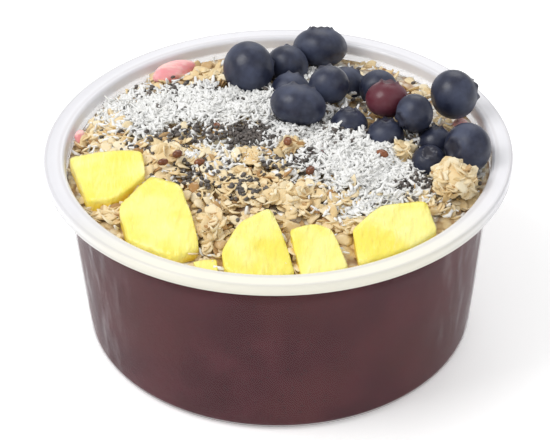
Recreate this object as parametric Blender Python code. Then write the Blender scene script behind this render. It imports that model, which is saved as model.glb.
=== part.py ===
"""An acai bowl: a clear plastic tub filled with acai puree and heaped with granola, coconut, blueberries
and pineapple.

Lengths are in millimetres until the meshes are made, and the scene is in metres with +Z up. The origin is
the middle of the tub's base. -Y is the side with the pineapple.
"""

from collections import namedtuple
from math import cos, pi, radians, sin, sqrt

import bmesh
import bpy
import numpy as np
from mathutils import Matrix, Vector

MM = 0.001

# ---------------------------------------------------------------- driving dimensions
GAP = 0.3  # between pieces that touch

HEIGHT = 65.0
RIM_RADIUS = 75.0  # outside of the rim's skirt
WALL = 0.7
WALL_RADIUS_TOP = 69.0  # outside of the wall, carried up to the rim
WALL_RADIUS_BASE = 63.8  # outside of the wall, carried down to the base
BASE_CORNER = 3.0  # radius of the corner between wall and base
MOUTH_CORNER = 1.4  # radius of the corner between wall and flange
RIM_EDGE = 0.8  # radius of the rim's outer top edge
SKIRT_DROP = 3.5
ROUND_SEGMENTS = 64

ACAI_LEVEL = 57.6
BED_BASE = ACAI_LEVEL + GAP  # underside of the granola bed
REST_LEVEL = 59.4  # nothing that sits in the bed reaches lower than this
BED_EDGE = 58.9  # height of the bed where it meets the wall
BED_RISE = 8.0  # height of the mound's middle over its edge
BED_LUMP = 0.7  # height of the lumps in it
BED_RINGS = 8
BED_SEGMENTS = 36
CUTTER_SWELL = 0.5  # how far a cutter stands out past the piece, along each axis
CUTTER_REACH = 30.0  # how far it is swept upwards

BERRY_SEGMENTS = 15  # three to each of the calyx's five lobes
CALYX_LOBES = 5


# ---------------------------------------------------------------- toppings and where they sit
# A berry is flattened along the line from its stem to its calyx. lean is the angle of the calyx from +Z
# and heading the compass direction that it leans in, in degrees from +X towards +Y.
Berry = namedtuple("Berry", "x y z width depth lean heading skin")
BLUE = (0.045, 0.055, 0.105)
RED = (0.160, 0.035, 0.060)
BLUEBERRIES = (
    Berry(-9.5, 38.0, 71.5, 18.0, 16.4, 105, 30, BLUE),
    Berry(3.5, 46.5, 67.0, 14.6, 13.6, 60, 70, BLUE),
    Berry(15.0, 57.5, 67.5, 18.6, 14.0, 30, 85, BLUE),
    Berry(4.5, 31.5, 66.0, 13.4, 12.2, 45, 70, BLUE),
    Berry(6.5, 12.5, 72.5, 18.4, 14.0, 35, 65, BLUE),
    Berry(17.0, 24.5, 72.5, 13.6, 12.6, 50, 110, BLUE),
    Berry(23.0, 35.0, 66.0, 13.0, 12.0, 60, 40, BLUE),
    Berry(33.5, 27.5, 69.0, 12.8, 11.8, 115, 70, BLUE),
    Berry(35.5, 14.5, 73.0, 14.0, 12.0, 25, 75, RED),
    Berry(44.0, 4.0, 74.5, 12.4, 11.6, 95, 210, BLUE),
    Berry(57.0, 17.0, 73.0, 16.2, 15.2, 85, 15, BLUE),
    Berry(60.0, -9.0, 69.5, 16.0, 14.0, 70, 215, BLUE),
    Berry(50.5, 0.5, 65.0, 11.2, 10.4, 20, 90, BLUE),
    Berry(47.5, -12.0, 66.0, 10.8, 10.0, 20, 270, BLUE),
    Berry(23.0, 9.0, 66.5, 12.4, 11.2, 20, 90, BLUE),
    Berry(34.5, 2.0, 67.0, 12.0, 10.8, 20, 90, BLUE),
    Berry(43.0, 10.0, 64.5, 9.6, 9.0, 20, 90, BLUE),
)

# A chunk of pineapple is a slab whose cut top slopes. corners is its outline seen from above, top the height
# of the cut face over the middle of the outline, rise_x and rise_y its slope towards +X and +Y.
Chunk = namedtuple("Chunk", "corners top rise_x rise_y")
PINEAPPLES = (
    Chunk(
        ((-67.0, -4.0), (-52.5, -3.5), (-43.0, -7.0), (-41.5, -20.0),
         (-50.0, -29.5), (-59.5, -28.5)),
        66.8, 0.17, 0.06,
    ),
    Chunk(
        ((-39.5, -23.5), (-28.0, -30.0), (-26.0, -42.0), (-22.5, -53.0),
         (-31.5, -57.0), (-46.0, -48.5), (-49.5, -34.5)),
        66.8, 0.10, 0.26,
    ),
    Chunk(
        ((-3.0, -40.5), (0.0, -46.0), (4.5, -64.0), (-10.5, -65.5),
         (-17.0, -62.0), (-17.5, -55.5), (-12.0, -45.5)),
        65.2, 0.00, 0.34,
    ),
    Chunk(
        ((3.0, -49.0), (10.5, -46.5), (16.0, -49.0), (20.5, -62.5),
         (11.5, -65.5), (6.5, -65.5)),
        64.8, 0.00, 0.33,
    ),
    Chunk(
        ((22.0, -47.5), (31.0, -38.0), (45.0, -35.5), (48.0, -47.0),
         (38.5, -54.5), (23.5, -61.0)),
        65.6, -0.06, 0.26,
    ),
    Chunk(
        ((-26.0, -58.0), (-19.0, -57.0), (-18.5, -64.0), (-24.0, -61.8)),
        61.8, 0.00, 0.10,
    ),
)
CHUNK_DRAFT = 0.94  # a chunk's underside against its cut face
CHUNK_BEVEL = 0.9

# A cluster is a baked lump of oat flakes, seen from above as an ellipse turned by heading degrees.
Cluster = namedtuple("Cluster", "x y z length width height heading")
CLUSTERS = (
    Cluster(54.5, -24.0, 66.5, 17.0, 15.0, 12.6, 75),
    Cluster(-34.0, -8.0, 66.5, 14.0, 10.0, 9.0, 15),
    Cluster(2.5, -31.5, 67.5, 15.0, 10.0, 9.0, 160),
    Cluster(40.0, -7.0, 66.5, 10.0, 6.0, 9.0, 60),
    Cluster(4.0, -5.5, 67.5, 11.0, 8.6, 8.0, 35),
    Cluster(-20.0, -46.0, 66.0, 12.0, 6.0, 8.0, 60),
)
CLUSTER_SEGMENTS = 12
CLUSTER_RINGS = 6

# A slice of strawberry leans on the wall at the back.
STRAWBERRY_X, STRAWBERRY_Y, STRAWBERRY_Z = -35.0, 51.0, 62.8
STRAWBERRY_LENGTH, STRAWBERRY_WIDTH, STRAWBERRY_HEIGHT = 16.0, 8.0, 6.2
STRAWBERRY_HEADING = 34.0


# ---------------------------------------------------------------- tools
def clear_scene():
    for obj in list(bpy.data.objects):
        bpy.data.objects.remove(obj, do_unlink=True)


def material(name, colour, roughness, alpha=1.0):
    """A Principled BSDF with a plain colour."""
    made = bpy.data.materials.new(name)
    made.use_nodes = True
    shader = made.node_tree.nodes["Principled BSDF"]
    shader.inputs["Base Color"].default_value = (*colour, 1.0)
    shader.inputs["Roughness"].default_value = roughness
    shader.inputs["Metallic"].default_value = 0.0
    shader.inputs["Alpha"].default_value = alpha
    made.diffuse_color = (*colour, alpha)
    return made


def put(name, bm, finish, sharp=40.0):
    """Turns a bmesh in millimetres into an object in metres, smooth but for edges over sharp degrees."""
    bmesh.ops.recalc_face_normals(bm, faces=bm.faces)
    bmesh.ops.scale(bm, vec=(MM, MM, MM), verts=bm.verts)
    mesh = bpy.data.meshes.new(name)
    bm.to_mesh(mesh)
    bm.free()
    mesh.shade_smooth()
    mesh.set_sharp_from_angle(angle=radians(sharp))
    mesh.materials.append(finish)
    obj = bpy.data.objects.new(name, mesh)
    bpy.context.scene.collection.objects.link(obj)
    return obj


def place(obj, x, y, z, lean=0.0, heading=0.0):
    """Leans +Z over by lean degrees in the direction heading, and moves the object to (x, y, z)."""
    obj.matrix_world = (
        Matrix.Translation(Vector((x, y, z)) * MM)
        @ Matrix.Rotation(radians(heading), 4, "Z")
        @ Matrix.Rotation(radians(lean), 4, "Y")
    )
    return obj


def arc(centre, radius, start, end, steps):
    """Points (r, z) on a quarter or other arc, from start to end degrees."""
    turns = [radians(start + (end - start) * i / steps) for i in range(steps + 1)]
    return [(centre[0] + radius * cos(t), centre[1] + radius * sin(t)) for t in turns]


def turned(profile, segments=ROUND_SEGMENTS):
    """The closed surface of a profile turned about Z. The profile starts and ends on the axis."""
    bm = bmesh.new()
    first = bm.verts.new((0.0, 0.0, profile[0][1]))
    last = bm.verts.new((0.0, 0.0, profile[-1][1]))
    rings = []
    for r, z in profile[1:-1]:
        turns = [2 * pi * k / segments for k in range(segments)]
        rings.append([bm.verts.new((r * cos(t), r * sin(t), z)) for t in turns])
    bridge(bm, rings, first, last)
    return bm


def bridge(bm, rings, first, last):
    """Skins rings of vertices into a tube, closed by fans to a vertex at each end."""
    count = len(rings[0])
    for k in range(count):
        after = (k + 1) % count
        bm.faces.new((first, rings[0][after], rings[0][k]))
        bm.faces.new((last, rings[-1][k], rings[-1][after]))
        for low, high in zip(rings, rings[1:]):
            bm.faces.new((low[k], low[after], high[after], high[k]))


def wall_radius(z):
    """Outside of the tub's tapered wall at height z."""
    return WALL_RADIUS_BASE + (WALL_RADIUS_TOP - WALL_RADIUS_BASE) * z / HEIGHT


# ---------------------------------------------------------------- tub and filling
def bowl():
    """A thin round tub with a flat flange and a turned-down skirt at its mouth."""
    inner_mouth = wall_radius(HEIGHT) - WALL
    flange = HEIGHT - WALL
    outside = [(0.0, 0.0)]
    outside += arc((wall_radius(0) - BASE_CORNER, BASE_CORNER), BASE_CORNER, -90, 0, 2)
    outside += [(wall_radius(flange), flange), (RIM_RADIUS - WALL, flange)]
    outside += [(RIM_RADIUS - WALL, HEIGHT - SKIRT_DROP), (RIM_RADIUS, HEIGHT - SKIRT_DROP)]
    outside += arc((RIM_RADIUS - RIM_EDGE, HEIGHT - RIM_EDGE), RIM_EDGE, 0, 90, 2)
    inside = arc((inner_mouth + MOUTH_CORNER, HEIGHT - MOUTH_CORNER), MOUTH_CORNER, 90, 180, 2)
    corner = BASE_CORNER - WALL
    inside += arc((wall_radius(0) - BASE_CORNER, BASE_CORNER), corner, 0, -90, 2)
    inside += [(0.0, WALL)]
    clear = material("clear_plastic", (0.90, 0.89, 0.92), 0.12, alpha=0.35)
    return put("bowl", turned(outside + inside), clear)


def acai():
    """The puree: it fills the tub to its level and keeps the gap to the plastic."""
    corner = BASE_CORNER - WALL - GAP
    profile = [(0.0, WALL + GAP)]
    profile += arc((wall_radius(0) - BASE_CORNER, BASE_CORNER), corner, -90, 0, 2)
    profile += [(wall_radius(ACAI_LEVEL) - WALL - GAP, ACAI_LEVEL), (0.0, ACAI_LEVEL)]
    return put("acai", turned(profile), material("acai_puree", (0.085, 0.020, 0.030), 0.45))


# ---------------------------------------------------------------- toppings
def blueberry(number, berry):
    """A flattened ball with a stem end below and a crown of five low lobes round a hollow above."""
    half, wide = berry.depth / 2, berry.width / 2
    # (share of the width, height as a share of the half depth, how far the lobes lift it in mm)
    rings = (
        (0.50, -0.89, 0.0),
        (0.90, -0.46, 0.0),
        (1.00, 0.08, 0.0),
        (0.82, 0.62, 0.0),
        (0.36, 0.94, 0.7),
        (0.22, 0.86, 0.0),
    )
    bm = bmesh.new()
    made = []
    for share, height, lobe in rings:
        ring = []
        for k in range(BERRY_SEGMENTS):
            turn = 2 * pi * k / BERRY_SEGMENTS
            lift = lobe * max(0.0, cos(CALYX_LOBES * turn))
            point = (wide * share * cos(turn), wide * share * sin(turn), half * height + lift)
            ring.append(bm.verts.new(point))
        made.append(ring)
    bridge(bm, made, bm.verts.new((0, 0, -half)), bm.verts.new((0, 0, half * 0.80)))
    skin = material(f"berry_skin_{number:02d}", berry.skin, 0.5)
    obj = put(f"blueberry_{number:02d}", bm, skin, sharp=60)
    return place(obj, berry.x, berry.y, berry.z, berry.lean, berry.heading)


def pineapple(number, chunk):
    """A wedge cut from a ring of pineapple, its top face sloped and all its edges softened."""
    middle = np.mean(chunk.corners, axis=0)
    bm = bmesh.new()
    floor, face = [], []
    for x, y in chunk.corners:
        dx, dy = x - middle[0], y - middle[1]
        top = chunk.top + chunk.rise_x * dx + chunk.rise_y * dy
        face.append(bm.verts.new((x, y, max(top, REST_LEVEL + 2 * CHUNK_BEVEL))))
        under = (middle[0] + CHUNK_DRAFT * dx, middle[1] + CHUNK_DRAFT * dy, REST_LEVEL)
        floor.append(bm.verts.new(under))
    count = len(face)
    bm.faces.new(face)
    bm.faces.new(floor[::-1])
    for k in range(count):
        after = (k + 1) % count
        bm.faces.new((floor[k], floor[after], face[after], face[k]))
    edges = bm.edges[:]
    bmesh.ops.bevel(bm, geom=edges, offset=CHUNK_BEVEL, segments=1, affect="EDGES", clamp_overlap=True)
    flesh = material(f"pineapple_flesh_{number}", (0.93, 0.74, 0.14), 0.35)
    return put(f"pineapple_{number}", bm, flesh, sharp=30)


def lumpy(length, width, height, seed, lump):
    """A closed ball of unequal half axes whose skin swells and dips by lump mm, as a few waves add up."""
    rng = np.random.default_rng(seed)
    waves = [(rng.normal(size=3) * 2.6, rng.uniform(0, 2 * pi)) for _ in range(5)]
    half = np.array((length, width, height)) / 2
    bm = bmesh.new()

    def vertex(lean, turn):
        way = np.array((sin(lean) * cos(turn), sin(lean) * sin(turn), cos(lean)))
        swell = sum(sin(float(way @ pitch) + phase) for pitch, phase in waves) / len(waves)
        return bm.verts.new(way * (half - lump * (0.5 - swell)))

    rings = []
    for i in range(1, CLUSTER_RINGS):
        lean = pi * (1 - i / CLUSTER_RINGS)
        rings.append([vertex(lean, 2 * pi * k / CLUSTER_SEGMENTS) for k in range(CLUSTER_SEGMENTS)])
    bridge(bm, rings, vertex(pi, 0.0), vertex(0.0, 0.0))
    return bm


def granola_cluster(number, lump):
    """A baked clump of oats, as large as a berry or larger."""
    oats = material(f"baked_oats_{number}", (0.80, 0.58, 0.27), 0.75)
    shape = lumpy(lump.length, lump.width, lump.height, seed=number, lump=1.0)
    obj = put(f"granola_cluster_{number}", shape, oats, sharp=50)
    return place(obj, lump.x, lump.y, lump.z, heading=lump.heading)


def strawberry():
    """A slice of strawberry lying against the wall."""
    shape = lumpy(STRAWBERRY_LENGTH, STRAWBERRY_WIDTH, STRAWBERRY_HEIGHT, seed=40, lump=0.5)
    obj = put("strawberry", shape, material("strawberry_flesh", (0.80, 0.22, 0.24), 0.4), sharp=50)
    return place(obj, STRAWBERRY_X, STRAWBERRY_Y, STRAWBERRY_Z, heading=STRAWBERRY_HEADING)


# ---------------------------------------------------------------- bed
def bed_height(x, y):
    """The mound's surface: a low dome with lumps on it that die out at the wall."""
    reach = sqrt(x * x + y * y) / wall_radius(BED_EDGE)
    dome = BED_EDGE + BED_RISE * (1 - min(1.0, reach) ** 2.4)
    lumps = sin(0.31 * x + 1.1) * cos(0.27 * y - 0.4) + sin(0.52 * x - 0.33 * y) * 0.7
    return dome + BED_LUMP * lumps * (1 - reach**6)


def bed():
    """Granola and coconut heaped on the puree, out to the wall."""
    bm = bmesh.new()
    base_radius = wall_radius(BED_BASE) - WALL - GAP
    edge_radius = wall_radius(BED_EDGE) - WALL - GAP
    turns = [2 * pi * k / BED_SEGMENTS for k in range(BED_SEGMENTS)]
    rings = [[bm.verts.new((base_radius * cos(t), base_radius * sin(t), BED_BASE)) for t in turns]]
    for i in range(BED_RINGS, 0, -1):
        r = edge_radius * i / BED_RINGS
        ring = [(r * cos(t), r * sin(t)) for t in turns]
        rings.append([bm.verts.new((x, y, bed_height(x, y))) for x, y in ring])
    bridge(bm, rings, bm.verts.new((0, 0, BED_BASE)), bm.verts.new((0, 0, bed_height(0, 0))))
    return put("granola_bed", bm, material("granola", (0.85, 0.72, 0.50), 0.8))


def cutter(obj):
    """A hidden copy of a piece's hull, swollen a little and swept upwards, which makes room for the piece."""
    bm = bmesh.new()
    bm.from_mesh(obj.data)
    bmesh.ops.transform(bm, matrix=obj.matrix_basis, verts=bm.verts)
    middle = sum((v.co for v in bm.verts), Vector()) / len(bm.verts)
    swollen = []
    for vert in bm.verts:
        away = [CUTTER_SWELL * MM * (1 if a > b else -1) for a, b in zip(vert.co, middle)]
        swollen.append(vert.co + Vector(away))
    bm.clear()
    for point in swollen:
        bm.verts.new(point)
        bm.verts.new(point + Vector((0, 0, CUTTER_REACH * MM)))
    hull = bmesh.ops.convex_hull(bm, input=bm.verts[:])
    inside = {item for item in hull["geom_interior"] if isinstance(item, bmesh.types.BMVert)}
    bmesh.ops.delete(bm, geom=list(inside), context="VERTS")
    bmesh.ops.recalc_face_normals(bm, faces=bm.faces)
    mesh = bpy.data.meshes.new("room_for_" + obj.name)
    bm.to_mesh(mesh)
    bm.free()
    made = bpy.data.objects.new(mesh.name, mesh)
    made.hide_render = True
    made.display_type = "WIRE"
    return made


def make_room(heap, pieces):
    """Cuts the bed round the pieces that sit in it."""
    rooms = bpy.data.collections.new("rooms")
    bpy.context.scene.collection.children.link(rooms)
    for piece in pieces:
        rooms.objects.link(cutter(piece))
    cut = heap.modifiers.new("room", "BOOLEAN")
    cut.operation = "DIFFERENCE"
    cut.operand_type = "COLLECTION"
    cut.collection = rooms
    cut.solver = "EXACT"


def main():
    clear_scene()
    bowl()
    acai()
    pieces = [blueberry(i, b) for i, b in enumerate(BLUEBERRIES, 1)]
    pieces += [pineapple(i, c) for i, c in enumerate(PINEAPPLES, 1)]
    pieces += [granola_cluster(i, c) for i, c in enumerate(CLUSTERS, 1)]
    pieces.append(strawberry())
    make_room(bed(), pieces)


main()
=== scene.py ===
"""The looks of an acai bowl: a clear tub of puree heaped with granola, coconut, seeds and fruit.

Shapes are worked out in millimetres as numpy arrays and put into meshes in metres. The pieces stand where the
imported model's nodes stand.
"""

from math import cos, pi, radians, sin

import bpy
import numpy as np
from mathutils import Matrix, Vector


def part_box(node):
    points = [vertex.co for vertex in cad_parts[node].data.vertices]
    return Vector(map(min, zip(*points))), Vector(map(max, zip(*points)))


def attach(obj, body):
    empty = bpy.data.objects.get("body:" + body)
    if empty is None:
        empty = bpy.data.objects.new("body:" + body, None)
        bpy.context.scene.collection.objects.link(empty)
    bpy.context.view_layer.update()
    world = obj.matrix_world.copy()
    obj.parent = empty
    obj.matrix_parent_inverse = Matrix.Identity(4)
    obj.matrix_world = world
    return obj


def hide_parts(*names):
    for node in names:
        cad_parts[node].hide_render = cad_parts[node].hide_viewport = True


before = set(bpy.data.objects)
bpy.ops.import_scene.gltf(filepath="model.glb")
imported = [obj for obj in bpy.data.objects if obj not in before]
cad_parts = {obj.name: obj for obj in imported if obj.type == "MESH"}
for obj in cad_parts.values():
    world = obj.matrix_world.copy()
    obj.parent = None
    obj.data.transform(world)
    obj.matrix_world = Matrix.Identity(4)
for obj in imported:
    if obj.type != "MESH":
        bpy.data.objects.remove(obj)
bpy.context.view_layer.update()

MM = 0.001
RNG = np.random.default_rng(7)

# ---------------------------------------------------------------- sizes, in millimetres
TUB_LOW, TUB_HIGH = (np.array(corner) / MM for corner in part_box("bowl"))
HEIGHT = TUB_HIGH[2]
RIM_RADIUS = TUB_HIGH[0]
WALL = 0.7
WALL_RADIUS_TOP = RIM_RADIUS - 6.0
WALL_RADIUS_BASE = RIM_RADIUS - 11.2
BASE_CORNER = 3.0
MOUTH_CORNER = 1.4
RIM_EDGE = 0.8
SKIRT_DROP = 3.5
INTO_WALL = 0.2  # how far the puree reaches into the plastic
ACAI_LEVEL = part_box("acai")[1][2] / MM
BED_EDGE, BED_RISE = 58.9, 8.0
CORE_DROP = 1.1  # the bed's core lies this far under the loose pieces

# ---------------------------------------------------------------- camera and light
ELEVATION, ROLL = 35.12, -0.81  # degrees
DISTANCE, AIM = 0.700, (-0.00131, 0.0, 0.03607)
LENS, SENSOR = 139.51, 36.0
WORLD_STRENGTH = 0.60
LAMPS = (  # name, place, size, power
    ("key", (-0.75, -0.25, 1.05), 0.7, 9.0),
    ("fill", (0.8, -0.7, 0.7), 0.9, 1.5),
    ("back", (0.2, 1.0, 0.9), 0.8, 4.0),
)


# ---------------------------------------------------------------- shader maths
class Wire:
    """An output socket whose operators add Math nodes."""

    def __init__(self, paint, socket):
        self.paint, self.socket = paint, socket

    def maths(self, operation, *values):
        return self.paint.node("ShaderNodeMath", {"operation": operation}, dict(enumerate(values)))

    def __add__(self, other):
        return self.maths("ADD", self, other)

    def __sub__(self, other):
        return self.maths("SUBTRACT", self, other)

    def __rsub__(self, other):
        return self.maths("SUBTRACT", other, self)

    def __mul__(self, other):
        return self.maths("MULTIPLY", self, other)

    def __pow__(self, other):
        return self.maths("POWER", self, other)

    __radd__, __rmul__ = __add__, __mul__

    def __abs__(self):
        return self.maths("ABSOLUTE", self)

    def clamped(self):
        """Held between 0 and 1."""
        return self.maths("MINIMUM", self.maths("MAXIMUM", self, 0.0), 1.0)

    def above(self, start, end):
        """0 up to start and 1 from end on, with a smooth climb between."""
        ends = {"From Min": start, "From Max": end, "Value": self}
        return self.paint.node("ShaderNodeMapRange", {"interpolation_type": "SMOOTHSTEP"}, ends)


class Paint:
    """A material round one Principled BSDF, whose constants are set on its own sockets."""

    def __init__(self, name, **constants):
        self.material = bpy.data.materials.new(name)
        self.material.use_nodes = True
        self.tree = self.material.node_tree
        self.shader = self.tree.nodes["Principled BSDF"]
        for key, value in constants.items():
            self.shader.inputs[key.replace("_", " ")].default_value = value
        self.place = self.node("ShaderNodeTexCoord", out="Object")

    def node(self, kind, settings=None, inputs=None, out=0):
        """Adds a node: its settings first, then values or links into its sockets; gives its output."""
        made = self.tree.nodes.new(kind)
        for key, value in (settings or {}).items():
            setattr(made, key, value)
        for key, value in (inputs or {}).items():
            if isinstance(value, Wire):
                self.tree.links.new(value.socket, made.inputs[key])
            else:
                made.inputs[key].default_value = value
        return Wire(self, made.outputs[out])

    def stretched(self, x, y, z):
        """The place on the piece, with each axis scaled."""
        return self.node("ShaderNodeMapping", None, {"Vector": self.place, "Scale": (x, y, z)})

    def noise(self, scale, detail=3.0, place=None):
        inputs = {"Vector": place or self.place, "Scale": scale, "Detail": detail}
        return self.node("ShaderNodeTexNoise", None, inputs)

    def cells(self, scale, place=None):
        return self.node("ShaderNodeTexVoronoi", None, {"Vector": place or self.place, "Scale": scale})

    def attribute(self, name):
        return self.node("ShaderNodeAttribute", {"attribute_name": name}, out="Fac")

    def axis(self, name):
        return self.node("ShaderNodeSeparateXYZ", None, {0: self.place}, out=name)

    def mix(self, factor, first, second):
        """A blend of two colours, each a tuple or a wire."""
        first, second = (c if isinstance(c, Wire) else (*c, 1.0) for c in (first, second))
        return self.node("ShaderNodeMix", {"data_type": "RGBA"}, {0: factor, 6: first, 7: second}, out=2)

    def feed(self, socket, wire):
        self.tree.links.new(wire.socket, self.shader.inputs[socket])

    def bump(self, height, distance, strength=0.6):
        inputs = {"Height": height, "Distance": distance, "Strength": strength}
        self.feed("Normal", self.node("ShaderNodeBump", None, inputs, out="Normal"))


# ---------------------------------------------------------------- finishes
def clear_plastic():
    """Thin clear plastic: the rim is milky, the wall lets the puree through, with painted highlight streaks
    on its two sides.
    """
    paint = Paint("clear_plastic", Roughness=0.2, IOR=1.49)
    height = paint.axis("Z")
    across, along = paint.axis("X"), paint.axis("Y")
    radius = (across * across + along * along) ** 0.5
    # Painted highlight: milky streaks on the wall's left and right sides stand in for the lamps' reflections
    # there.
    side = abs(across).above(0.042, 0.068)
    highlight_streaks = paint.noise(1.0, 4.0, paint.stretched(260.0, 260.0, 60.0)).above(0.45, 0.75)
    painted_side_highlight = side * (0.02 + 0.22 * highlight_streaks)
    rim = height.above(0.0605, 0.0618)
    upper = height.above(0.0572, 0.0582)
    milk = 0.012 + painted_side_highlight * (1 - upper) + 0.34 * upper * (1 - rim) + 0.82 * rim
    edge = paint.node("ShaderNodeLayerWeight", None, {"Blend": 0.10}, out="Fresnel")
    paint.feed("Alpha", (milk + 0.35 * edge).clamped())
    # Painted light: the rim's front is tinted cream for the yellow fruit glowing through the plastic.
    front = (0 - along).above(0.030, 0.066) * rim
    colour = paint.mix(front, (0.83, 0.825, 0.86), (0.90, 0.875, 0.76))
    # Painted shade: thin grey lines at the mouth's corner and at the flange's outer lip, on top of the rim.
    corner = radius.above(0.0692, 0.0699) * (1 - radius.above(0.0700, 0.0712))
    painted_lip_shade = radius.above(0.0735, 0.0741) * (1 - radius.above(0.0744, 0.0750))
    line = (corner + 0.6 * painted_lip_shade) * height.above(0.0630, 0.0640)
    paint.feed("Base Color", paint.mix(line.clamped() * 0.55, colour, (0.62, 0.60, 0.62)))
    return paint.material


def puree():
    """Dark red-purple, faintly mottled, with fine darker specks."""
    paint = Paint("acai_puree", Roughness=0.5, Specular_IOR_Level=0.2)
    mottle = paint.noise(60.0, 5.0).above(0.35, 0.7)
    brown = paint.noise(28.0, 3.0).above(0.4, 0.65)
    specks = 1 - paint.cells(420.0).above(0.10, 0.24)
    colour = paint.mix(mottle, (0.058, 0.0095, 0.0145), (0.088, 0.0180, 0.0260))
    colour = paint.mix(brown * 0.5, colour, (0.078, 0.017, 0.016))
    paint.feed("Base Color", paint.mix(specks * 0.55, colour, (0.018, 0.004, 0.007)))
    paint.bump(paint.noise(300.0, 3.0), 0.0004, 0.35)
    return paint.material


def berry_skin(name, deep, light, bloom, amount):
    """A dark skin under a waxy bloom that is rubbed off in patches."""
    paint = Paint(name, Roughness=0.42, Specular_IOR_Level=0.45)
    patches = paint.noise(95.0, 5.0).above(0.38, 0.68)
    fine = paint.noise(520.0, 2.0).above(0.3, 0.8)
    colour = paint.mix(paint.noise(45.0, 2.0), deep, light)
    colour = paint.mix((patches * 0.75 + fine * 0.25) * amount, colour, bloom)
    crown = paint.attribute("crown")
    paint.feed("Base Color", paint.mix(crown * 0.7, colour, (0.030, 0.026, 0.034)))
    paint.feed("Roughness", 0.34 + 0.26 * patches)
    paint.bump(paint.noise(700.0, 3.0), 0.0002, 0.3)
    return paint.material


def pineapple_flesh():
    """Wet yellow flesh with pale fibres running through it, and painted shade, a deeper gold, on the sides
    away from the cut face.
    """
    paint = Paint("pineapple_flesh", Roughness=0.30, Subsurface_Weight=0.25, Subsurface_Scale=0.004)
    paint.shader.inputs["Subsurface Radius"].default_value = (1.0, 0.8, 0.25)
    fibres = paint.noise(1.0, 3.0, paint.stretched(420.0, 90.0, 420.0))
    clouds = paint.noise(70.0, 3.0).above(0.35, 0.68)
    colour = paint.mix(clouds, (0.95, 0.80, 0.12), (0.99, 0.90, 0.30))
    # Painted shade: the sides other than the cut face are darkened to a deep gold.
    deep = 1 - paint.attribute("face").above(0.2, 0.8)
    colour = paint.mix(deep * 0.85, colour, (0.88, 0.62, 0.030))
    paint.feed("Base Color", paint.mix(fibres.above(0.55, 0.8) * 0.35, colour, (1.0, 0.93, 0.50)))
    paint.bump(fibres, 0.0016, 0.7)
    return paint.material


def oats():
    """Baked oats: pale flakes and crumbs, each with its own shade, browned at their edges."""
    paint = Paint("baked_oats", Roughness=0.72, Specular_IOR_Level=0.3)
    shade = paint.attribute("shade")
    grain = paint.noise(900.0, 4.0)
    colour = paint.mix(shade.above(0.0, 0.75), (0.91, 0.80, 0.57), (0.82, 0.64, 0.36))
    colour = paint.mix(shade.above(0.86, 1.0), colour, (0.44, 0.24, 0.090))
    colour = paint.mix(paint.noise(170.0, 3.0).above(0.52, 0.76) * 0.45, colour, (0.68, 0.46, 0.20))
    paint.feed("Base Color", paint.mix(grain.above(0.5, 0.8) * 0.3, colour, (0.95, 0.90, 0.74)))
    paint.bump(grain, 0.0004, 0.6)
    return paint.material


def coconut_white():
    """Dry white shreds, each with its own shade, faintly cream in places."""
    paint = Paint("coconut", Roughness=0.55, Specular_IOR_Level=0.3)
    shade = paint.attribute("shade")
    colour = paint.mix(shade, (0.95, 0.95, 0.94), (0.84, 0.84, 0.82))
    cream = paint.noise(500.0, 2.0).above(0.5, 0.8)
    paint.feed("Base Color", paint.mix(cream * 0.3, colour, (0.93, 0.90, 0.80)))
    paint.bump(paint.noise(1500.0, 2.0), 0.0002, 0.4)
    return paint.material


def bed_mix():
    """The heap under the loose pieces: crumbs of oat and coconut, with painted shade, dark brown, in the
    hollows between them.
    """
    paint = Paint("bed_mix", Roughness=0.8)
    lumps = paint.cells(330.0)
    colour = paint.mix(paint.noise(70.0, 3.0).above(0.4, 0.6), (0.80, 0.62, 0.34), (0.88, 0.86, 0.80))
    # Painted shade: dark brown in the hollows between the crumbs, where the cells meet.
    paint.feed("Base Color", paint.mix(lumps.above(0.35, 0.75) * 0.8, colour, (0.40, 0.22, 0.09)))
    paint.bump(1 - lumps, 0.0012, 0.8)
    return paint.material


def seed_coat(name, dark, pale, roughness):
    """A mottled seed coat, each seed with its own shade."""
    paint = Paint(name, Roughness=roughness)
    shade = paint.attribute("shade")
    mottle = paint.noise(1300.0, 3.0).above(0.42, 0.62)
    paint.feed("Base Color", paint.mix((shade * 0.7 + mottle * 0.5).clamped(), dark, pale))
    paint.bump(paint.noise(2000.0, 2.0), 0.0001, 0.3)
    return paint.material


def strawberry_flesh():
    """Wet pink flesh with paler veins and fine specks."""
    paint = Paint("strawberry_flesh", Roughness=0.38, Subsurface_Weight=0.2, Subsurface_Scale=0.003)
    veins = paint.noise(1.0, 3.0, paint.stretched(120.0, 300.0, 300.0)).above(0.4, 0.7)
    colour = paint.mix(veins, (0.86, 0.33, 0.35), (0.93, 0.62, 0.58))
    paint.feed("Base Color", paint.mix(paint.cells(500.0).above(0.0, 0.2), (0.9, 0.5, 0.35), colour))
    paint.bump(veins, 0.0005, 0.4)
    return paint.material


# ---------------------------------------------------------------- mesh tools
def piece(name, points, faces, finish, slot, replaces=(), **attributes):
    """Puts arrays in millimetres into a mesh that rides on the one body."""
    mesh = bpy.data.meshes.new(name)
    mesh.from_pydata(np.asarray(points) * MM, [], [list(map(int, f)) for f in faces])
    mesh.update()
    mesh.shade_smooth()
    mesh.materials.append(finish)
    for key, values in attributes.items():
        made = mesh.attributes.new(key, "FLOAT", "POINT")
        made.data.foreach_set("value", np.asarray(values, np.float32))
    obj = bpy.data.objects.new(name, mesh)
    bpy.context.scene.collection.objects.link(obj)
    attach(obj, "root")
    for node in replaces:
        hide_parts(node)
    return obj


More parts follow.
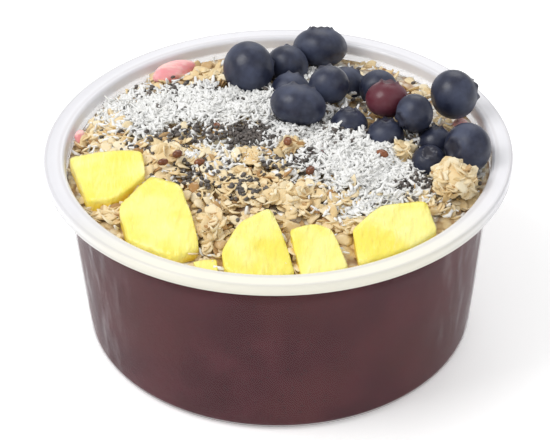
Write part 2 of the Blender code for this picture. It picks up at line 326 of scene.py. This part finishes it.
def skin(rings):
    """Points and faces of a tube of rings (rows x columns x 3), with its two ends closed by fans."""
    rows, columns = rings.shape[:2]
    index = np.arange(rows * columns).reshape(rows, columns)
    low, high = index[:-1], index[1:]
    quads = np.stack([low, np.roll(low, -1, 1), np.roll(high, -1, 1), high], -1).reshape(-1, 4)
    points = rings.reshape(-1, 3)
    faces = quads.tolist()
    points = np.vstack([points, rings[0].mean(0), rings[-1].mean(0)])
    first, last = rows * columns, rows * columns + 1
    faces += [[first, b, a] for a, b in zip(index[0], np.roll(index[0], -1))]
    faces += [[last, a, b] for a, b in zip(index[-1], np.roll(index[-1], -1))]
    return points, faces


def ball(segments, rings):
    """Unit directions on a grid of latitude by longitude, from the south pole up, poles left out."""
    up = pi * (1 - np.arange(1, rings) / rings)[:, None]
    turn = 2 * pi * np.arange(segments)[None, :] / segments
    return np.stack([np.sin(up) * np.cos(turn), np.sin(up) * np.sin(turn), np.cos(up) + 0 * turn], -1)


def leant(lean, heading):
    """The rotation that leans +Z over by lean degrees in the compass direction heading."""
    a, b = radians(lean), radians(heading)
    over = np.array([[cos(a), 0, sin(a)], [0, 1, 0], [-sin(a), 0, cos(a)]])
    about = np.array([[cos(b), -sin(b), 0], [sin(b), cos(b), 0], [0, 0, 1]])
    return about @ over


def waves(points, pitch, seed, count=7):
    """A smooth value from about -1 to 1 at each point: sines along random directions, added up."""
    rng = np.random.default_rng(seed)
    ways = rng.normal(size=(count, 3)) * pitch
    phases = rng.uniform(0, 2 * pi, count)
    return np.sin(points @ ways.T + phases).sum(-1) / np.sqrt(count) / 1.4


def arc(centre, radius, start, end, steps):
    """Points along a round stretch of a profile, between two angles in degrees."""
    turn = np.radians(np.linspace(start, end, steps + 1))
    return np.stack([centre[0] + radius * np.cos(turn), centre[1] + radius * np.sin(turn)], -1)


def turned(profile, segments=240):
    """A profile of (radius, height) turned about Z, its ends closed on the axis."""
    turn = 2 * pi * np.arange(segments) / segments
    r, z = profile[:, :1], profile[:, 1:]
    return skin(np.stack([r * np.cos(turn), r * np.sin(turn), z + 0 * turn], -1))


def wall_radius(z):
    """The wall's outer radius, straight from the base to the rim."""
    return WALL_RADIUS_BASE + (WALL_RADIUS_TOP - WALL_RADIUS_BASE) * z / HEIGHT


def middle(node):
    """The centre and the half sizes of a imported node's box, in millimetres."""
    low, high = (np.array(corner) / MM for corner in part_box(node))
    return (low + high) / 2, (high - low) / 2


# ---------------------------------------------------------------- tub and puree
def tub():
    """The wall, flange and skirt as one turned outline with rounded corners."""
    foot = (wall_radius(0) - BASE_CORNER, BASE_CORNER)
    flange = HEIGHT - WALL
    mouth = wall_radius(HEIGHT) - WALL + MOUTH_CORNER
    outline = np.vstack([
        [(1.0, 0.0)],
        arc(foot, BASE_CORNER, -90, 0, 6),
        [(wall_radius(20), 20.0), (wall_radius(40), 40.0)],
        [(wall_radius(flange - 1), flange - 1), (wall_radius(flange) + 0.4, flange - 0.1)],
        [(RIM_RADIUS - WALL - 0.2, flange), (RIM_RADIUS - WALL, flange - 0.3)],
        [(RIM_RADIUS - WALL, HEIGHT - SKIRT_DROP + 0.1), (RIM_RADIUS - WALL / 2, HEIGHT - SKIRT_DROP)],
        [(RIM_RADIUS, HEIGHT - SKIRT_DROP + 0.15)],
        arc((RIM_RADIUS - RIM_EDGE, HEIGHT - RIM_EDGE), RIM_EDGE, 0, 90, 5),
        arc((mouth, HEIGHT - MOUTH_CORNER), MOUTH_CORNER, 90, 180, 6),
        [(wall_radius(40) - WALL, 40.0), (wall_radius(20) - WALL, 20.0)],
        arc(foot, BASE_CORNER - WALL, 0, -90, 6),
        [(1.0, WALL)],
    ])
    piece("tub", *turned(outline), clear_plastic(), "clear_plastic", ["bowl"])


def acai_fill():
    """The puree reaches just into the wall, so that no air shows between them."""
    foot = (wall_radius(0) - BASE_CORNER, BASE_CORNER)
    side = [(wall_radius(z) - WALL + INTO_WALL, z) for z in np.linspace(8, ACAI_LEVEL, 9)]
    outline = np.vstack([
        [(1.0, WALL - INTO_WALL)],
        arc(foot, BASE_CORNER - WALL + INTO_WALL, -90, 0, 6),
        side,
        [(20.0, ACAI_LEVEL), (1.0, ACAI_LEVEL)],
    ])
    piece("acai_fill", *turned(outline), puree(), "acai", ["acai"])


# ---------------------------------------------------------------- fruit
# width across, depth from stem to calyx, and where the calyx points: its lean from +Z and its heading
BERRIES = (
    (18.0, 16.4, 105, 30), (14.6, 13.6, 60, 70), (18.6, 14.0, 30, 85), (13.4, 12.2, 45, 70),
    (18.4, 14.0, 35, 65), (13.6, 12.6, 50, 110), (13.0, 12.0, 60, 40), (12.8, 11.8, 115, 70),
    (14.0, 12.0, 25, 75), (12.4, 11.6, 95, 210), (16.2, 15.2, 85, 15), (16.0, 14.0, 70, 215),
    (11.2, 10.4, 20, 90), (10.8, 10.0, 20, 270), (12.4, 11.2, 20, 90), (12.0, 10.8, 20, 90),
    (9.6, 9.0, 20, 90),
)
RED_BERRY = 9
CALYX_LOBES = 5


def blueberries():
    """Flattened balls: the radius dips at the stem, and round the calyx a ring of five lobes stands up
    about a hollow."""
    blue = berry_skin("berry_blue", (0.010, 0.012, 0.026), (0.022, 0.026, 0.055), (0.095, 0.115, 0.190), 0.60)
    red = berry_skin("berry_red", (0.085, 0.012, 0.022), (0.150, 0.024, 0.038), (0.240, 0.120, 0.160), 0.35)
    way = ball(40, 30)
    lean = np.arccos(np.clip(way[..., 2], -1, 1))
    turn = np.arctan2(way[..., 1], way[..., 0])
    lobes = 0.5 + 0.5 * np.cos(CALYX_LOBES * turn)
    crest = np.exp(-(((lean - 0.40) / 0.075) ** 2))
    hollow = np.exp(-((lean / 0.30) ** 4))
    stem = np.exp(-(((pi - lean) / 0.25) ** 2))
    for number, (width, depth, tilt, heading) in enumerate(BERRIES, 1):
        node = f"blueberry_{number:02d}"
        place, _ = middle(node)
        half = np.array([width, width, depth]) / 2
        bumps = 1 + 0.012 * waves(way, 2.2, number)
        shape = way * half * bumps[..., None]
        shape[..., 2] += crest * (0.15 + 0.40 * lobes) - 0.8 * hollow + 0.5 * stem
        shape *= (1 + 0.05 * crest * lobes)[..., None]
        points, faces = skin(shape @ leant(tilt, heading).T + place)
        crown = np.append((crest * 0.8 + hollow).ravel(), [0.0, 1.0]).clip(0, 1)
        skin_finish = red if number == RED_BERRY else blue
        slot = "blueberry_red" if number == RED_BERRY else "blueberry"
        piece(f"berry_{number:02d}", points, faces, skin_finish, slot, [node], crown=crown)


# outline seen from above, height of the cut face over its middle, and its slope towards +X and +Y
CHUNKS = (
    (((-67.0, -4.0), (-52.5, -3.5), (-43.0, -7.0), (-41.5, -20.0), (-50.0, -29.5), (-59.5, -28.5)),
     66.8, 0.17, 0.06),
    (((-39.5, -23.5), (-28.0, -30.0), (-26.0, -42.0), (-22.5, -53.0), (-31.5, -57.0), (-46.0, -48.5),
      (-49.5, -34.5)), 66.8, 0.10, 0.26),
    (((-3.0, -40.5), (0.0, -46.0), (4.5, -64.0), (-10.5, -65.5), (-17.0, -62.0), (-17.5, -55.5),
      (-12.0, -45.5)), 65.2, 0.00, 0.34),
    (((3.0, -49.0), (10.5, -46.5), (16.0, -49.0), (20.5, -62.5), (11.5, -65.5), (6.5, -65.5)),
     64.8, 0.00, 0.33),
    (((22.0, -47.5), (31.0, -38.0), (45.0, -35.5), (48.0, -47.0), (38.5, -54.5), (23.5, -61.0)),
     65.6, -0.06, 0.26),
    (((-26.0, -58.0), (-19.0, -57.0), (-18.5, -64.0), (-24.0, -61.8)), 61.8, 0.00, 0.10),
)
EDGE_SHARPNESS = 16.0  # power of the norm that rounds a chunk's edges: higher is sharper


def planes(corners, top, rise_x, rise_y, floor):
    """The chunk's middle, and from there the normals and distances of its sides, cut face and foot."""
    outline = np.array(corners)
    centre = np.array([*outline.mean(0), (floor + top) / 2])
    along = np.roll(outline, -1, 0) - outline
    normals = np.stack([along[:, 1], -along[:, 0], 0 * along[:, 0]], -1)
    normals /= np.linalg.norm(normals, axis=1, keepdims=True)
    inwards = ((outline - centre[:2]) * normals[:, :2]).sum(1) < 0
    normals[inwards] *= -1
    reach = ((outline - centre[:2]) * normals[:, :2]).sum(1)
    face = np.array([-rise_x, -rise_y, 1.0])
    drop = (top - centre[2]) / np.linalg.norm(face)
    normals = np.vstack([normals, face / np.linalg.norm(face), [0, 0, -1]])
    return centre, normals, np.append(reach, [drop, centre[2] - floor])


def pineapples():
    """Each chunk's radius along a direction is the rounded minimum of the distances to its planes, a power
    norm of their inverses; fibres then ripple the flesh."""
    flesh = pineapple_flesh()
    way = ball(120, 80)
    for number, (corners, top, rise_x, rise_y) in enumerate(CHUNKS, 1):
        node = f"pineapple_{number}"
        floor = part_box(node)[0][2] / MM
        centre, normals, reach = planes(corners, top, rise_x, rise_y, floor)
        toward = np.clip(way @ normals.T / reach, 0, None)
        radius = (toward**EDGE_SHARPNESS).sum(-1) ** (-1 / EDGE_SHARPNESS)
        shape = way * radius[..., None]
        fibres = waves(shape * (1.0, 0.35, 1.0), 1.3, 50 + number)
        soft = 0.35 * waves(shape, 0.22, 30 + number) + 0.14 * fibres
        shape += normals[-2] * (soft * (way @ normals[-2]).clip(0, 1))[..., None]
        shape += way * (0.18 * waves(shape, 0.5, 70 + number))[..., None]
        points, faces = skin(shape + centre)
        facing = np.append((toward[..., -2] / toward.max(-1)).ravel(), [0.0, 1.0])
        piece(f"chunk_{number}", points, faces, flesh, "pineapple", [node], face=facing)


def strawberries():
    """A slice against the wall, and small bits of it elsewhere."""
    flesh = strawberry_flesh()
    way = ball(60, 40)

    def bit(place, half, heading, seed):
        shape = way * np.array(half) * (1 + 0.10 * waves(way, 2.6, seed))[..., None]
        return skin(shape @ leant(0, heading).T + np.array(place))

    place, _ = middle("strawberry")
    piece("strawberry_slice", *bit(place, (8.0, 4.0, 3.1), 34, 5), flesh, "strawberry", ["strawberry"])
    bits = (((-64.5, 12.0, 62.0), (2.6, 1.8, 2.0), 80), ((12.5, -8.5, 68.4), (2.8, 1.6, 1.0), 10),
            ((60.0, 14.5, 62.5), (2.4, 3.4, 2.2), 20))
    for number, (where, half, heading) in enumerate(bits, 1):
        piece(f"strawberry_bit_{number}", *bit(where, half, heading, 90 + number), flesh, "strawberry")


# ---------------------------------------------------------------- granola, coconut and seeds
def bed_height(x, y):
    """The mound's surface: a low dome with lumps on it that die out at the wall."""
    reach = np.hypot(x, y) / wall_radius(BED_EDGE)
    dome = BED_EDGE + BED_RISE * (1 - np.minimum(1.0, reach) ** 2.4)
    lumps = np.sin(0.31 * x + 1.1) * np.cos(0.27 * y - 0.4) + np.sin(0.52 * x - 0.33 * y) * 0.7
    return dome + 0.7 * lumps * (1 - reach**6)


def bed_core():
    """The heap itself, a disc of rings that follow the mound, a little under the loose pieces."""
    reach = wall_radius(BED_EDGE) - WALL - 0.2
    turn = 2 * pi * np.arange(160)[None, :] / 160
    r = np.linspace(reach, 0.6, 60)[:, None]
    x, y = r * np.cos(turn), r * np.sin(turn)
    z = bed_height(x, y) - CORE_DROP * np.minimum(1, (reach - r) / 6)
    z += 0.5 * waves(np.stack([x, y, 0 * x], -1), 0.9, 11) * np.minimum(1, (reach - r) / 3)
    top = np.stack([x, y, z], -1)
    foot = np.stack([x[0], y[0], 0 * x[0] + ACAI_LEVEL - 0.2], -1)[None]
    inner = foot * (0.02, 0.02, 1.0)
    points, faces = skin(np.concatenate([inner, foot, top]))
    piece("bed_core", points, faces, bed_mix(), "granola", ["granola_bed"])


def flake_kinds(count=6):
    """Oat flakes: a dished disc of 9 x 3 points with a crease along it and a ragged edge."""
    turn = 2 * pi * np.arange(9) / 9
    kinds = []
    for _ in range(count):
        edge = 1 + RNG.uniform(-0.22, 0.22, 9)
        flat = np.stack([np.cos(turn) * edge, 0.78 * np.sin(turn) * edge], -1)
        sag = 0.22 * np.abs(flat[:, 1]) + RNG.uniform(-0.08, 0.08, 9)
        rings = [np.column_stack([flat * share, sag * share + lift])
                 for share, lift in ((0.55, -0.16), (1.0, -0.05), (1.0, 0.05), (0.55, 0.13))]
        kinds.append(skin(np.array(rings)))
    return kinds


def shred_kinds(count=5):
    """Coconut shreds: a short four-sided strip along a bent line."""
    kinds = []
    for _ in range(count):
        s = np.linspace(-1, 1, 3)
        bend = np.column_stack([s, 0.35 * RNG.uniform(-1, 1) * s**2, 0.35 * RNG.uniform(-1, 1) * s**2])
        cross = np.array([(0, 1, 1), (0, -1, 1), (0, -1, -1), (0, 1, -1)]) * (0, 0.32, 0.17)
        width = (1 - 0.45 * s**2)[:, None, None]
        kinds.append(skin((bend[:, None] + cross[None] * width)[:, ::-1]))
    return kinds


def seed_kinds():
    """A seed: an egg of 8 x 5 points, a little pointed at one end."""
    way = ball(8, 5)
    return [skin(way * (1, 0.66, 0.58) * (1 - 0.12 * way[..., :1]))]


def turns(count, tilt):
    """Random rotations: about Z by any angle, then tipped by about tilt degrees."""
    a = RNG.uniform(0, 2 * pi, count)
    b, c = np.radians(RNG.normal(0, tilt, (2, count)))
    ca, sa, cb, sb, cc, sc = np.cos(a), np.sin(a), np.cos(b), np.sin(b), np.cos(c), np.sin(c)
    zero, one = 0 * a, 1 + 0 * a
    about = np.stack([ca, -sa, zero, sa, ca, zero, zero, zero, one], -1).reshape(-1, 3, 3)
    tip = np.stack([cb, zero, sb, zero, one, zero, -sb, zero, cb], -1).reshape(-1, 3, 3)
    roll = np.stack([one, zero, zero, zero, cc, -sc, zero, sc, cc], -1).reshape(-1, 3, 3)
    return about @ tip @ roll


def strewn(kinds, places, sizes, tilt):
    """Copies of the kinds at places, sized and turned; gives points, faces and each copy's own shade."""
    rotations = turns(len(places), tilt)
    shade = RNG.uniform(0, 1, len(places))
    which = RNG.integers(0, len(kinds), len(places))
    points, faces, shades, start = [], [], [], 0
    for k, (shape, shape_faces) in enumerate(kinds):
        mine = which == k
        moved = np.einsum("nij,pj->npi", rotations[mine], shape) * sizes[mine, None, None]
        moved += places[mine, None]
        count = len(shape)
        offsets = start + count * np.arange(mine.sum())
        for size in (3, 4):
            plain = np.array([f for f in shape_faces if len(f) == size])
            if len(plain):
                faces += (plain[None] + offsets[:, None, None]).reshape(-1, size).tolist()
        points.append(moved.reshape(-1, 3))
        shades.append(np.repeat(shade[mine], count))
        start += count * int(mine.sum())
    return np.vstack(points), faces, np.concatenate(shades)


def solids():
    """Centres and half sizes of the fruit and clusters, to keep loose pieces out of them."""
    names = [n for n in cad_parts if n.startswith(("blueberry", "granola_cluster"))]
    return [middle(name) for name in sorted(names)]


ROUND_THINGS = solids()


def inside_outline(x, y, corners, margin):
    """True where (x, y) lies inside a convex outline, or within margin of it."""
    _, normals, reach = planes(corners, 1.0, 0.0, 0.0, 0.0)
    centre = np.array(corners).mean(0)
    away = (x - centre[0])[:, None] * normals[:-2, 0] + (y - centre[1])[:, None] * normals[:-2, 1]
    return (away - reach[:-2]).max(-1) < margin


def free(places, margin=0.97, chunk_margin=-1.2):
    """Keeps the places that are out of the fruit, and inside the wall."""
    keep = np.hypot(places[:, 0], places[:, 1]) < wall_radius(60) - WALL - 1.2
    for centre, half in ROUND_THINGS:
        keep &= (((places - centre) / half) ** 2).sum(-1) > margin
    for corners, *_ in CHUNKS:
        keep &= ~inside_outline(places[:, 0], places[:, 1], corners, chunk_margin)
    return places[keep]


def patch(x, y, half_x, half_y, heading, count, low=-0.4, high=1.2, soft=True):
    """Random places in a turned ellipse, from low to high mm above the mound, thinning towards the edge."""
    spread = RNG.normal(0, 0.5, (count, 2)) if soft else RNG.uniform(-1, 1, (count, 2))
    if not soft:
        spread = spread[(spread**2).sum(-1) < 1]
    a = radians(heading)
    dx, dy = spread[:, 0] * half_x, spread[:, 1] * half_y
    px, py = x + dx * cos(a) - dy * sin(a), y + dx * sin(a) + dy * cos(a)
    inside = np.hypot(px, py) < wall_radius(60) - WALL - 1.0
    px, py = px[inside], py[inside]
    return np.column_stack([px, py, bed_height(px, py) + RNG.uniform(low, high, len(px))])


def granola():
    """Loose oat flakes and crumbs over the whole heap, thickest behind the pineapple and at the left."""
    finish = oats()
    flakes = flake_kinds()
    everywhere = patch(0, 0, 67.5, 67.5, 0, 1500, -0.8, 0.5, soft=False)
    heaps = [patch(-38, -8, 16, 10, 0, 220, 0, 2.0), patch(0, -30, 26, 9, -5, 330, 0, 2.0),
             patch(-20, -44, 8, 9, 0, 110, 0, 1.5), patch(-28, 50, 16, 6, -30, 110, -0.3, 1.2),
             patch(-56, 12, 8, 14, 0, 160, 0, 1.6), patch(48, -26, 12, 8, 30, 120, 0, 1.5),
             patch(-53, -30, 7, 6, -45, 90, -0.5, 1.0), patch(20, -42, 7, 5, 0, 60, -1.0, 0.8),
             patch(-15, -16, 18, 10, 0, 160, 0.2, 1.8)]
    places = free(np.vstack([everywhere, *heaps]))
    points, faces, shade = strewn(flakes, places, RNG.uniform(1.1, 2.7, len(places)), 26)
    piece("oat_flakes", points, faces, finish, "granola", shade=shade)
    for number in range(1, 7):
        node = f"granola_cluster_{number}"
        centre, half = middle(node)
        way = RNG.normal(size=(int(26 + half.prod() * 0.55), 3))
        way /= np.linalg.norm(way, axis=1, keepdims=True)
        way = way[way[:, 2] > -0.5]
        places = centre + way * half * RNG.uniform(0.66, 0.93, (len(way), 1))
        sizes = RNG.uniform(1.3, 2.6, len(way))
        lumps, lump_faces, shade = strewn(flakes, places, sizes, 38)
        core = ball(28, 18)
        swell = 0.78 + 0.09 * waves(core, 3.5, number)
        core_points, core_faces = skin(core * half * swell[..., None] + centre)
        faces = lump_faces + [[i + len(lumps) for i in face] for face in core_faces]
        shade = np.append(shade, np.full(len(core_points), 0.6))
        points = np.vstack([lumps, core_points])
        piece(f"oat_cluster_{number}", points, faces, finish, "granola", [node], shade=shade)


def coconut():
    """Shredded coconut in drifts over the middle, with a few shreds everywhere."""
    drifts = [patch(-18, 22, 36, 13, -4, 2700, 0.2, 2.6), patch(-44, 24, 16, 16, 20, 1000, 0.2, 2.0),
              patch(26, -13, 21, 17, -20, 2400, 0.4, 2.8), patch(36, -22, 14, 7, -15, 420, 0.3, 2.0),
              patch(8, 2, 17, 10, 0, 800, 0.2, 2.2), patch(-20, -10, 20, 12, 0, 380, 0.4, 2.0),
              patch(12, 42, 12, 10, 0, 260, 0.0, 1.6), patch(58, -2, 8, 14, 0, 260, 0.0, 1.8),
              patch(0, 0, 66, 66, 0, 500, 0.0, 1.2, soft=False), patch(-50, -2, 10, 6, 0, 90, 0.4, 1.5),
              patch(26, -36, 12, 4, 15, 160, 0.8, 2.2)]
    places = free(np.vstack(drifts), margin=1.0, chunk_margin=-2.5)
    points, faces, shade = strewn(shred_kinds(), places, RNG.uniform(0.9, 2.1, len(places)), 30)
    piece("coconut_shreds", points, faces, coconut_white(), "coconut", shade=shade)


def seeds():
    """Chia in clusters and singly, and a few larger flax seeds."""
    clusters = [patch(-9, 0, 8, 7, 0, 170, 1.6, 2.9), patch(-10, -27, 6, 6, 0, 90, 1.2, 2.6),
                patch(43, -23, 9, 5, 10, 130, 1.2, 2.6), patch(-30, 2, 14, 10, 0, 90, 1.2, 2.6),
                patch(-34, 34, 14, 8, -20, 80, 1.0, 2.2), patch(20, 0, 14, 8, 0, 60, 1.6, 2.8),
                patch(-26, -18, 10, 8, 0, 60, 1.2, 2.4), patch(6, -14, 12, 6, 0, 70, 1.4, 2.6),
                patch(0, 4, 60, 44, 0, 260, 1.2, 2.4), patch(46, 4, 8, 8, 0, 30, 1.0, 3.0)]
    places = free(np.vstack(clusters), margin=1.05, chunk_margin=-2.0)
    chia = seed_coat("chia_coat", (0.022, 0.018, 0.017), (0.165, 0.140, 0.125), 0.5)
    points, faces, shade = strewn(seed_kinds(), places, RNG.uniform(0.85, 1.1, len(places)), 25)
    piece("chia_seeds", points, faces, chia, "chia", shade=shade)
    flax = np.array([(-31.5, -13.0, 71.2), (-36.0, -15.0, 69.5), (3.0, -8.5, 72.2), (-19.5, 6.0, 69.0),
                     (-25.0, -14.0, 68.5), (10.0, -20.0, 69.0), (33.0, -12.0, 69.4)])
    coat = seed_coat("flax_coat", (0.11, 0.030, 0.010), (0.26, 0.09, 0.035), 0.25)
    points, faces, shade = strewn(seed_kinds(), flax, RNG.uniform(1.7, 2.2, len(flax)), 12)
    piece("flax_seeds", points, faces, coat, "flax", shade=shade)


# ---------------------------------------------------------------- stage
def white_floor():
    """A plain white floor just under the tub."""
    floor_mesh = bpy.data.meshes.new("floor")
    floor_mesh.from_pydata([(-6, -6, 0), (6, -6, 0), (6, 6, 0), (-6, 6, 0)], [], [(0, 1, 2, 3)])
    paint = Paint("floor_white", Roughness=0.9, Specular_IOR_Level=0.1, Emission_Strength=0.30)
    paint.shader.inputs["Emission Color"].default_value = (1.0, 1.0, 1.0, 1.0)
    paint.feed("Base Color", paint.mix(paint.noise(3.0), (0.95, 0.95, 0.95), (0.96, 0.96, 0.96)))
    floor_mesh.materials.append(paint.material)
    floor = bpy.data.objects.new("floor", floor_mesh)
    floor.location.z = -0.0002
    bpy.context.scene.collection.objects.link(floor)


def soft_light():
    """A pale world and three large lamps that face the bowl, the strongest above and to the left."""
    world = bpy.data.worlds.new("studio")
    world.use_nodes = True
    world.node_tree.nodes["Background"].inputs["Color"].default_value = (1.0, 1.0, 1.0, 1.0)
    world.node_tree.nodes["Background"].inputs["Strength"].default_value = WORLD_STRENGTH
    bpy.context.scene.world = world
    for name, place, size, power in LAMPS:
        light = bpy.data.lights.new(name, "AREA")
        light.size = size
        light.energy = power
        lamp = bpy.data.objects.new(name, light)
        lamp.location = place
        lamp.rotation_euler = (-lamp.location).to_track_quat("-Z", "Y").to_euler()
        bpy.context.scene.collection.objects.link(lamp)


def camera_in_front():
    """A camera that looks down at the bowl from the front, turned a little about its own axis."""
    elevation, roll = radians(ELEVATION), radians(ROLL)
    back = np.array([0.0, -cos(elevation), sin(elevation)])
    level, up = np.array([1.0, 0.0, 0.0]), np.array([0.0, sin(elevation), cos(elevation)])
    right = level * cos(roll) + up * sin(roll)
    over = -level * sin(roll) + up * cos(roll)
    lens = bpy.data.cameras.new("camera")
    lens.lens, lens.sensor_width, lens.clip_start = LENS, SENSOR, 0.01
    camera = bpy.data.objects.new("camera", lens)
    at = np.eye(4)
    at[:3, 0], at[:3, 1], at[:3, 2], at[:3, 3] = right, over, back, AIM + back * DISTANCE
    camera.matrix_world = [list(column) for column in at.T]
    bpy.context.scene.collection.objects.link(camera)
    bpy.context.scene.camera = camera
    bpy.context.scene.view_settings.view_transform = "Standard"


tub()
acai_fill()
bed_core()
blueberries()
pineapples()
strawberries()
granola()
coconut()
seeds()
white_floor()
soft_light()
camera_in_front()
